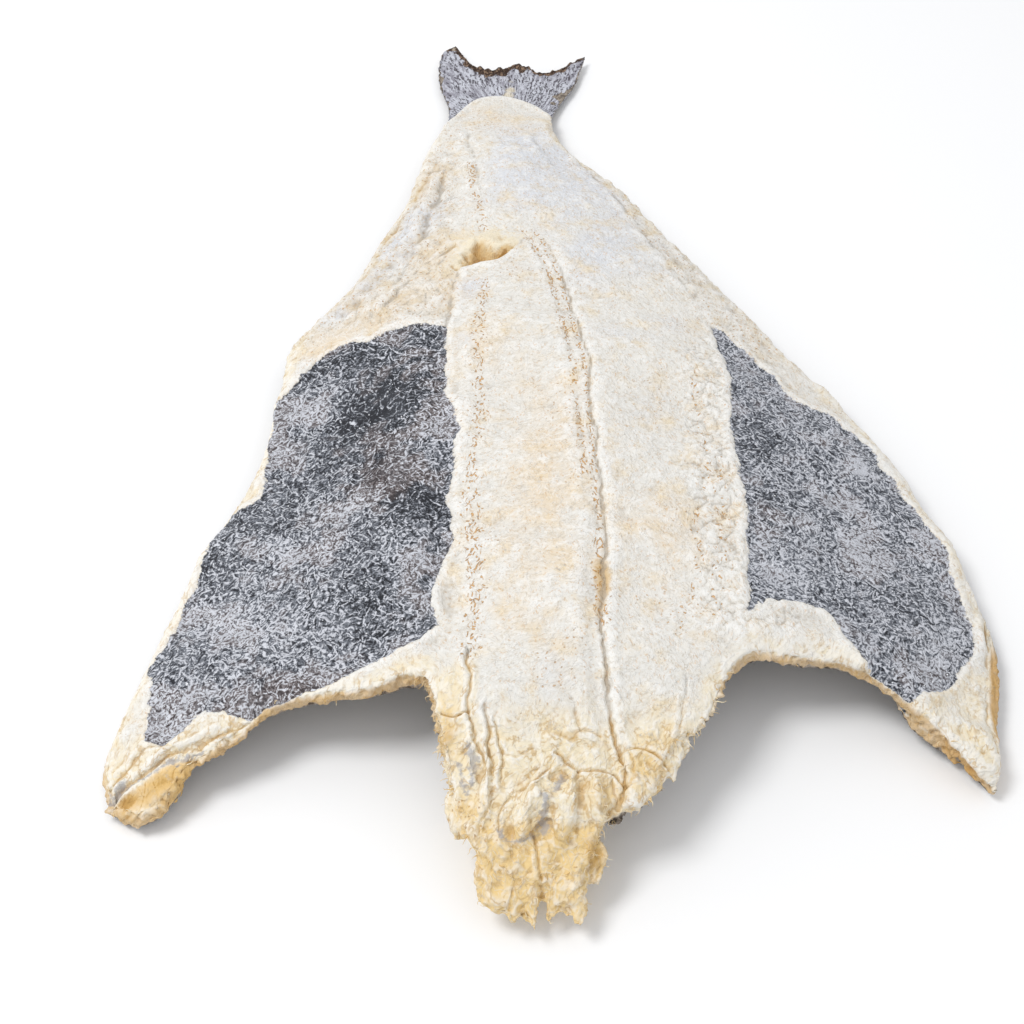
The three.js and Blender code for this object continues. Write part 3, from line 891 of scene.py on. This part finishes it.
def finished(mesh, name):
    """A new material on a mesh: its shader, and an empty Shade of its nodes."""
    material = bpy.data.materials.new(name)
    material.use_nodes = True
    mesh.materials.append(material)
    return material.node_tree.nodes["Principled BSDF"], Shade(material.node_tree)


shader, flesh = finished(fish_mesh, "cured_flesh")
made, field = flesh.made, flesh.field
spot = made("TexCoord", {}, {}, "Object").vector("SCALE", {"Scale": 1 / MM})


def bent(size, reach):
    """The place, shifted about by clouds, so that what is drawn there winds."""
    drift = spot.cloud(size, 1).out("Color")
    return drift.vector("MULTIPLY_ADD", {1: (reach, reach, reach), 2: spot})


def layered(under, *layers):
    """Colours laid over the first one in turn, each as (colour, share)."""
    for top, share in layers:
        under = share.made("Mix", {"data_type": "RGBA"}, {0: share, 6: under, 7: top}, 2)
    return under


def curls(size, turns, shift):
    """Fibres that wind side by side and break off against others: -1 between them, 1 on each."""
    first = (spot.moved((shift, 0, 0)).cloud(size, 1.2) * turns).wave()
    second = (spot.moved((0, shift, 40)).cloud(size, 1.2) * turns).wave()
    share = spot.moved((0, 30, shift)).cloud(size * 0.5, 1).between(0.44, 0.56)
    return first * share + second * (1 - share)


def wrinkles(stretch, turn, shift):
    """Fine creases drawn out one way: 1 in a crease, 0 between."""
    drawn = swept.moved((shift, 0, 0), stretch, turn)
    crease = (1 - abs(drawn.cloud(2.3, 2, 0.55) - 0.5) * 14).most(0)
    return crease * drawn.moved((0, 60, 0)).cloud(2.6, 0).between(0.46, 0.6)


def folds(stretch, turn, shift):
    """Small overlapping waves, drawn out one way."""
    drawn = swept.moved((shift, 0, 0), stretch, turn)
    return drawn.cloud(2.5, 2, 0.6) * 0.8 - abs(drawn.moved((9, 9, 9)).cloud(2.8, 1) - 0.5) * 1.4


swept = bent(30, 16)
winding = bent(9, 7)
broad = spot.cloud(42, 3)
patchy = spot.moved((90, 20, 0)).cloud(16, 2)
speckle = spot.moved((10, 70, 30)).cloud(3.2, 2, 0.6)
grit = spot.moved((40, 10, 60)).cloud(1.5, 2, 0.6)
drifting, uneven, mottled, gritty = broad - 0.5, patchy - 0.5, speckle - 0.5, grit - 0.5
across = field("across")
creased = wrinkles((1.4, 1, 1), 0.15, 5) * across + wrinkles((1, 1.4, 1), 0.45, 25) * (1 - across)
crumpled = folds((1.5, 1, 1), 0.15, 11) * across + folds((1, 1.5, 1), 0.45, 33) * (1 - across)
worn = (field("cream") + uneven * 0.4).between(0.2, 0.8)
creased = creased * (1 - worn) + wrinkles((3.2, 2.3, 2), 1.2, 45) * worn
crumpled = crumpled * (1 - worn) + folds((3.2, 2.2, 2), 1.2, 55) * worn
strokes = winding.moved((9, 4, 0)).fibres(2.8, 0.4)
dashes = winding.moved((3, 8, 0)).fibres(2.6, 0.7, (1, 0), 1.6)
specks = winding.cells(5.6).between(0.19, 0.07)
pebble_edges = spot.cells(7, "DISTANCE_TO_EDGE").between(0.06, 0.02)

cream = field("cream") + uneven * 0.9
facing = field("facing")
vent = field("vent") + mottled * 0.5 + uneven * 0.5
ragged_edge = mottled * 4 + gritty * 2.5 + uneven * 6
on_membrane = (field("membrane") + ragged_edge).between(-0.4, 0.4)
fold_line = (field("fold_gap") + mottled * 1.6 + uneven * 2).between(1, 0.1)
seam_line = (field("seam_gap") + mottled * 2.5).between(1, 0.1) * patchy.between(0.3, 0.55)
pebble_line = pebble_edges * field("pebbled") * patchy.between(0.42, 0.6)
pits = field("pits") * patchy.between(0.2, 0.42)
pitted = (dashes * pits + specks * pits * 1.6 + uneven * 0.6).between(0.38, 0.76)
pitted = pitted.most((specks * (broad + field("flank") * 0.2)).between(0.52, 0.66) * 0.75)

cut_face = facing.between(0.6, 0.1) * field("ragged_cut") * (1 - field("head"))
# Painted shade in the hollows and along the fold lines and the seam's groove, tinted ochre on cream flesh and
# near the vent.
hollow_shade_tone = layered(HOLLOW_SHADE_GREY, (HOLLOW_SHADE_OCHRE, cream.between(0.1, 0.7).most(vent.between(0, 0.3))))
painted_hollow_shade = (field("hollow") + fold_line * 0.15 + seam_line * 0.5 + mottled * 1.2).between(0.3, 2.2)
bared = (field("grey_skin") + mottled * 2.2 + gritty * 1.2 + uneven * 1.2).between(0.3, 1.1)
flesh_tone = layered(
    WHITE_FLESH,
    (COOL_FLESH, (field("cool") + drifting * 1.4).between(0.15, 0.9)),
    (BEIGE_FLESH, (field("beige") + uneven * 1.4 + drifting * 0.8).between(-0.1, 1)),
    (CREAM_FLESH, cream.between(0.2, 1).most(facing.between(0.8, 0.3) * 0.7)),
    (YELLOW_FLESH, (field("yellow") + uneven * 1.4).between(0, 1) * 0.9),
    # Painted highlight on the raised crumples and on the crests, and pale fibres.
    (CRINKLE_HIGHLIGHT, (crumpled.between(0.3, 0.45) * 0.4).most(strokes * 0.3)),
    (CRINKLE_HIGHLIGHT, field("hollow").between(-0.2, -0.9) * (0.5 - field("yellow") * 0.3)),
    # Painted shade along the fine crease lines; the same colour makes the flanks darker in patches.
    (CRINKLE_SHADE, creased * (0.2 + patchy * 0.5 + field("flank") * 0.2)),
    (CRINKLE_SHADE, field("flank") * 0.28 * patchy.between(0.2, 0.8)),
    (OCHRE, creased * cream.between(0.2, 0.9) * 0.55),
    (GOLD, (cut_face * (0.35 + patchy * 0.6)).most(field("golden") * (0.6 + patchy * 0.6))),
    (POCKET, field("pocket") * patchy.between(0.2, 0.6)),
    # Painted shade, golden, in the hollows of the left tip's pocket.
    (GOLD, field("pocket") * field("hollow").between(0, 1.2) * 0.8),
    (OCHRE, (field("stain") + mottled * 0.6 + uneven * 0.8).between(0.3, 1.2) * 0.7),
    (CREAM_FLESH, vent.between(0, 0.35) * 0.8),
    (OCHRE, vent.between(0.4, 0.95) * 0.65),
    # The deepest ochre, just behind the vent's lip, is painted shade.
    (DEEP_OCHRE, vent.between(1.05, 1.4) * 0.95),
    (layered(PIT_BROWN, (DEEP_OCHRE, grit.between(0.5, 0.6))), pitted * 0.8),
    (PIT_BROWN, pebble_line * 0.2),
    (PIT_BROWN, dashes * speckle.between(0.5, 0.64) * (0.35 - worn * 0.2)),
    # Painted shade along the seam's groove.
    (HOLLOW_SHADE_OCHRE, seam_line * 0.5),
    (hollow_shade_tone, painted_hollow_shade * 0.6),
    (GREY_SKIN, bared * 0.65),
)

bloom = spot.moved((7, 3, 1)).cloud(40, 3, 0.6)
hair = curls(8, 56, 3)
felt = winding.fibres(5.4, 0.8) * 0.9 + winding.moved((31, 12, 0)).fibres(3.6, 0.6) * 0.7
felt = felt + winding.moved((77, 5, 0)).fibres(9.5, 0.6) * 0.6
gaps = winding.moved((50, 60, 0)).fibres(4.4, 0.9)
nicks = winding.moved((19, 44, 0)).fibres(3, 0.6)
dun = (bloom + uneven * 0.5 + field("dun")).between(0.5, 0.62)
shown = field("pale") + (bloom - 0.5) * 1.5 + uneven * 0.9
felted = felt - gaps * 0.6 + hair * 0.25 + gritty * 2.4 + mottled * 1.2 + shown
under_felt = layered(MEMBRANE_DARK, (MEMBRANE_BROWN, dun))
membrane_tone = layered(
    under_felt,
    (layered(MEMBRANE_GREY, (MEMBRANE_DUN, dun)), felted.between(-0.2, 0.35)),
    (MEMBRANE_LIGHT, felted.between(0.35, 1.2)),
    (under_felt, nicks.between(0.35, 0.9) * 0.55),
    (MEMBRANE_GREY, field("film") + patchy.between(0.4, 0.65) * 0.15),
)

rays = made("CombineXYZ", {}, {"X": field("ray") + mottled * 3, "Y": field("fin") + gritty * 3})
ray_marks = rays.fibres(2.7, 0.8, (1, 0), 0.9)
ray_light = rays.moved((13, 7, 0)).fibres(3.4, 0.7, (1, 0), 1.6)
streaks = rays.moved((5, 50, 0), (1, 9, 1)).cloud(1.7, 1) - 0.5
lighter = (ray_light * 0.4 + streaks * 3 + gritty * 1.2 + patchy * 1.2).between(0.1, 1.1)
darker = (ray_marks - streaks * 1.5 + mottled * 1.6 + uneven * 2).between(0.55, 0.8)
crusted = (speckle * 0.6 + grit * 0.6).between(0.58, 0.74)
fin_tone = layered(
    FIN_GREY,
    (FIN_LIGHT, lighter),
    (FIN_DARK, darker * 0.8),
    (CREAM_FLESH, (field("bridge") + mottled * 0.6).between(0.4, 0.9) * 0.7),
    (layered(FIN_CRUST, (CRUST_TAN, crusted)), (field("crust") + mottled * 3).between(-0.6, 0.6)),
)
on_fin = (field("fin") + mottled * 3).between(-0.4, 0.4)

skin_tone = layered(
    SKIN_DARK,
    (SKIN_LIGHT, (felt * 0.5 + mottled * 1.6 + bloom * 0.7).between(0, 1)),
    (CREAM_FLESH, bloom.between(0.6, 0.75) * 0.5),
)
on_skin = (facing + uneven * 0.3).between(-0.25, -0.4).most(field("bare_skin"))

height = crumpled * (worn + 0.8) + strokes * 0.14 + patchy * 1.6
height = height - fold_line * 0.2 - seam_line * 0.4 - pitted * 0.25
height = height + on_membrane * (felt * 0.3 - gaps * 0.2 - 0.2) + on_fin * (ray_light * 0.3 - ray_marks * 0.3)
relief_normal = made("Bump", {}, {"Strength": 1, "Distance": MM, "Height": height})
tone = layered(flesh_tone, (membrane_tone, on_membrane), (fin_tone, on_fin), (skin_tone, on_skin))
tone.into(shader, "Base Color")
relief_normal.into(shader, "Normal")
(0.82 - on_membrane * 0.2 + mottled * 0.2).into(shader, "Roughness")
shader.inputs["Specular IOR Level"].default_value = 0.35


# --- The loose ends ---
# Torn muscle fibres curl out of the head cut and along the rim, and grains of salt stayed behind in the
# membrane's felt and in the creases.

FIBRE_COUNT = 260
FIBRE_RINGS = 8
FIBRE_SIDES = 4  # one face of four corners closes each end
GRAIN_COUNT = 600
loose_dice = np.random.default_rng(90)
skin_points = read_rows(fish_mesh.vertices, "co") / MM
skin_ways = read_rows(fish_mesh.vertex_normals, "vector")


def some_points(weight, count):
    """Random points of the skin, more of them where the weight is high."""
    return loose_dice.choice(len(weight), count, replace=False, p=weight / weight.sum())


def loose_piece(name, corners, faces, colours, roughness):
    """One mesh of many small closed shapes with the same corners and faces."""
    count, size = corners.shape[:2]
    mesh = bpy.data.meshes.new(name)
    every = (np.array(faces)[None] + size * np.arange(count)[:, None, None]).reshape(-1, 4)
    mesh.from_pydata((corners.reshape(-1, 3) * MM).tolist(), [], every.tolist())
    surface, tint = finished(mesh, name)
    shade = tint.made("TexCoord", {}, {}, "Object").cloud(6 * MM).between(0.35, 0.65)
    layered(colours[0], (colours[1], shade)).into(surface, "Base Color")
    surface.inputs["Roughness"].default_value = roughness
    piece = placed(name, mesh)
    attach(piece, "root")


def unit(vectors):
    return vectors / np.linalg.norm(vectors, axis=-1, keepdims=True)


torn_rim = bell(past_cut, 2.2) * (0.35 + on_tongue) + 0.4 * strips * rim
torn_rim = torn_rim * (skin_points[:, 2] > 7) * (skin_ways[:, 2] > -0.4)
roots = some_points(torn_rim, FIBRE_COUNT)
at = skin_points[roots] - 0.4 * skin_ways[roots]
way = unit(skin_ways[roots] + 0.8 * loose_dice.normal(size=at.shape))
pace = loose_dice.uniform(0.4, 1.1, (FIBRE_COUNT, 1))
thick = loose_dice.uniform(0.22, 0.5, (FIBRE_COUNT, 1))
rings = []
for ring in range(FIBRE_RINGS):
    across_way = unit(np.cross(way, (0.1, 0.2, 1)))
    other_way = np.cross(way, across_way)
    taper = thick * (1 - 0.75 * ring / (FIBRE_RINGS - 1))
    for side in range(FIBRE_SIDES):
        angle = 2 * math.pi * side / FIBRE_SIDES
        rings.append(at + taper * (math.cos(angle) * across_way + math.sin(angle) * other_way))
    at = at + pace * way
    way = unit(way + 0.45 * loose_dice.normal(size=at.shape) - (0, 0, 0.12))
last_ring = (FIBRE_RINGS - 1) * FIBRE_SIDES
fibre_faces = []
for low in range(0, last_ring, FIBRE_SIDES):
    high = low + FIBRE_SIDES
    for side in range(FIBRE_SIDES):
        beside_it = (side + 1) % FIBRE_SIDES
        fibre_faces.append([low + side, low + beside_it, high + beside_it, high + side])
fibre_faces += [[*range(FIBRE_SIDES)][::-1], [*range(last_ring, last_ring + FIBRE_SIDES)]]
fibres = np.maximum(np.stack(rings, 1), (-1e9, -1e9, 0.1))
loose_piece("torn_fibres", fibres, fibre_faces, (dye(238, 224, 192), dye(214, 180, 120)), 0.7)

salty = ((membrane > 1.5) + 0.1 * (hollow > 0.3) * (y > -260)) * (skin_ways[:, 2] > 0.6)
seats = some_points(salty.astype(float), GRAIN_COUNT)
cube = np.array([(x, y, z) for z in (-1, 1) for y in (-1, 1) for x in (-1, 1)], float)
spin = np.linalg.qr(loose_dice.normal(size=(GRAIN_COUNT, 3, 3)))[0]
size = loose_dice.uniform(0.12, 0.36, (GRAIN_COUNT, 1, 1))
size = size * loose_dice.uniform(0.8, 1.25, (GRAIN_COUNT, 8, 3))
grains = skin_points[seats][:, None] + 0.2 * skin_ways[seats][:, None] + size * (cube @ spin)
cube_faces = [[0, 2, 3, 1], [4, 5, 7, 6], [0, 1, 5, 4], [2, 6, 7, 3], [0, 4, 6, 2], [1, 3, 7, 5]]
loose_piece("salt_grains", grains, cube_faces, (dye(246, 247, 250), dye(232, 234, 238)), 0.35)


# --- The studio ---
# A pale floor, one large soft lamp from the upper left and a bright room round it. The camera looks down on
# the fish from in front of its head cut.

FLOOR_REACH = 6.0
floor_mesh = bpy.data.meshes.new("floor")
floor_mesh.from_pydata(
    [(side * FLOOR_REACH, end * FLOOR_REACH, 0) for side, end in ((-1, -1), (1, -1), (1, 1), (-1, 1))],
    [], [(0, 1, 2, 3)],
)
floor = placed("floor", floor_mesh)
floor_shader = finished(floor_mesh, "pale_floor")[0]
floor_shader.inputs["Base Color"].default_value = (0.96, 0.96, 0.96, 1)
floor_shader.inputs["Roughness"].default_value = 0.9
floor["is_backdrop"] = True

world = bpy.data.worlds.new("room")
bpy.context.scene.world = world
world.use_nodes = True
room_light = world.node_tree.nodes["Background"].inputs
room_light["Color"].default_value = (0.97, 0.98, 1, 1)
room_light["Strength"].default_value = 0.74

LAMP_PLACE = Vector((-1.2, -0.1, 2.2))
LAMP_TARGET = Vector((0, -0.05, 0))
LAMP_SIZE = 1.0
LAMP_POWER = 29
light = bpy.data.lights.new("key", "AREA")
light.shape = "DISK"
light.size = LAMP_SIZE
light.energy = LAMP_POWER
lamp = placed("key", light)
lamp.location = LAMP_PLACE
lamp.rotation_euler = (LAMP_TARGET - LAMP_PLACE).to_track_quat("-Z", "Y").to_euler()

CAMERA_TARGET = Vector((-24.5 * MM, -137.7 * MM, 35 * MM))
CAMERA_DISTANCE = 1.0
CAMERA_ELEVATION = math.radians(49)
CAMERA_AZIMUTH = math.radians(-1.5)
CAMERA_LENS = 57.66
CAMERA_SENSOR = 36
back = Vector((
    math.sin(CAMERA_AZIMUTH) * math.cos(CAMERA_ELEVATION),
    -math.cos(CAMERA_AZIMUTH) * math.cos(CAMERA_ELEVATION),
    math.sin(CAMERA_ELEVATION),
))
camera = placed("camera", bpy.data.cameras.new("camera"))
camera.data.lens = CAMERA_LENS
camera.data.sensor_width = CAMERA_SENSOR
camera.data.clip_start = 0.05
camera.location = CAMERA_TARGET + back * CAMERA_DISTANCE
camera.rotation_mode = "QUATERNION"
camera.rotation_quaternion = (-back).to_track_quat("-Z", "Y")
bpy.context.scene.camera = camera
bpy.context.scene.view_settings.view_transform = "Standard"

low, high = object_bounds()
